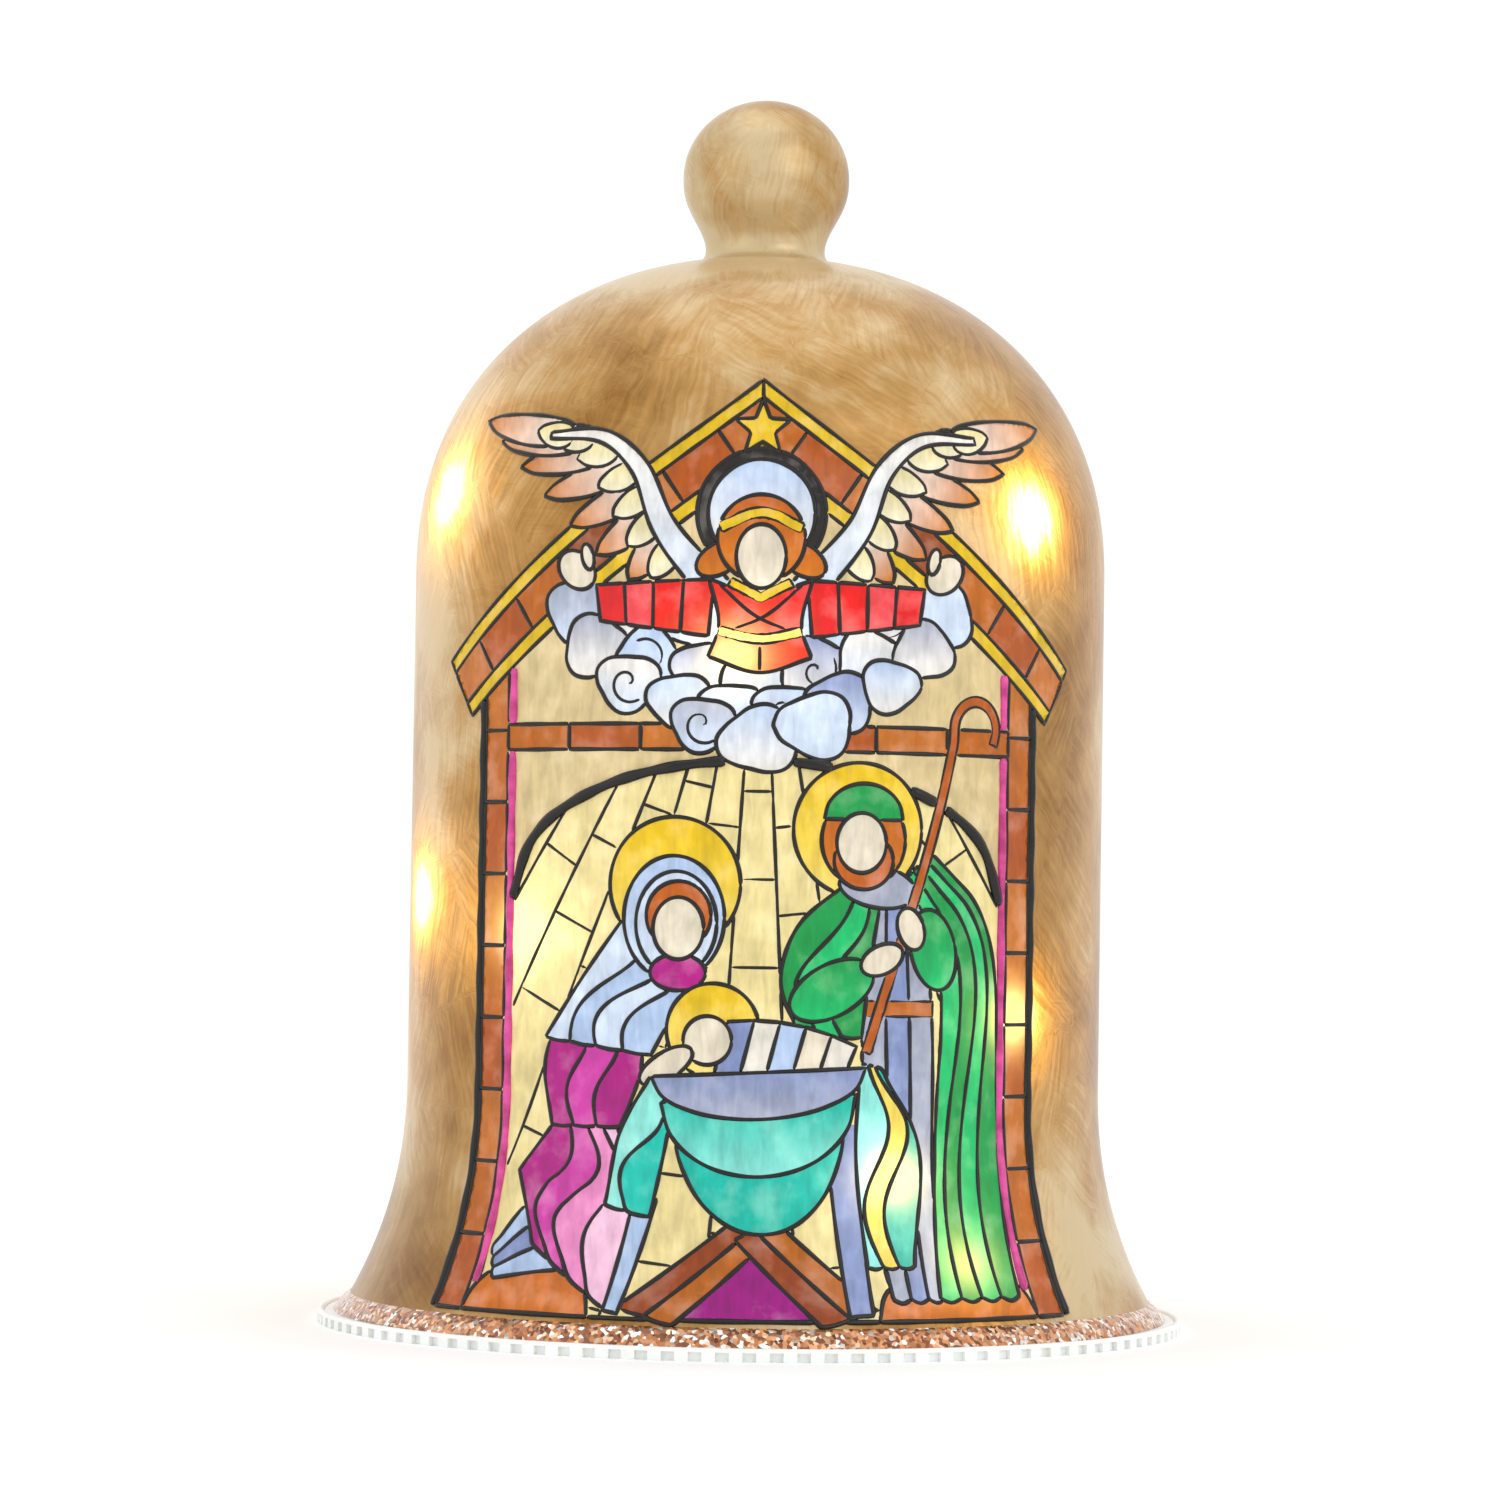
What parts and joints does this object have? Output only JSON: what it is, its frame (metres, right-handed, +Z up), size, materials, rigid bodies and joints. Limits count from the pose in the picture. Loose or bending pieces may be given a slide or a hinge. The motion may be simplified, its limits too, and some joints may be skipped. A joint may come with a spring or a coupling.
{
  "type": "battery-lit glass bell",
  "caption": "Lit bell of blown glass with a ball knob and an enamelled scene, bonded to a round white base with a battery bay, door and switch.",
  "frame": {"origin": "middle of the base's foot, on the surface it stands on", "axes": "+Z up along the bell's axis, painted front towards -Y, switch towards +Y, finger notch of the battery door towards +X"},
  "size_m": [0.178, 0.178, 0.254],
  "materials": {
    "painted_glass": "blown glass, gold lacquer inside, enamelled outside, gloss",
    "copper_glitter": "copper glitter in clear glue",
    "silicone": "clear, satin",
    "white_plastic": "moulded, semi-gloss",
    "cell_sleeve": "printed sleeve, gloss",
    "nickel_steel": "nickel plated",
    "circuit_board": "green mask, gloss",
    "black_plastic": "moulded, matte",
    "board_parts": "fired ceramic, matte",
    "red_sleeve": "satin",
    "black_sleeve": "satin",
    "black_rubber": "matte",
    "copper_wire": "lacquered copper, gloss",
    "light_resin": "clear resin over a warm lamp, lit"
  },
  "bodies": {
    "bell_on_base": {"bell_glass": "painted_glass", "glitter_band": "copper_glitter", "glue_ring": "silicone", "base_plate": "white_plastic", "battery_housing": "white_plastic", "battery_cell_1": "cell_sleeve", "battery_cell_2": "cell_sleeve", "battery_cell_3": "cell_sleeve", "cell_springs": "nickel_steel", "cell_contacts": "nickel_steel", "timer_board": "circuit_board", "timer_chip": "black_plastic", "board_parts": "board_parts", "board_screws": "nickel_steel", "switch_case": "nickel_steel", "lead_red": "red_sleeve", "lead_black": "black_sleeve", "housing_screws": "nickel_steel", "wire_grommet": "black_rubber", "light_wire": "copper_wire", "light_beads": "light_resin"},
    "door": {"battery_door": "white_plastic"},
    "slider": {"switch_slider": "black_plastic"}
  },
  "joints": [
    {"name": "door_hinge", "type": "hinge", "parent": "bell_on_base", "child": "door", "pos_m": [-0.0272, 0, 0.0059], "axis": [0, 1, 0], "range_deg": [0, 80]},
    {"name": "switch_slide", "type": "slide", "parent": "bell_on_base", "child": "slider", "axis": [1, 0, 0], "range_m": [0, 0.004]}
  ]
}
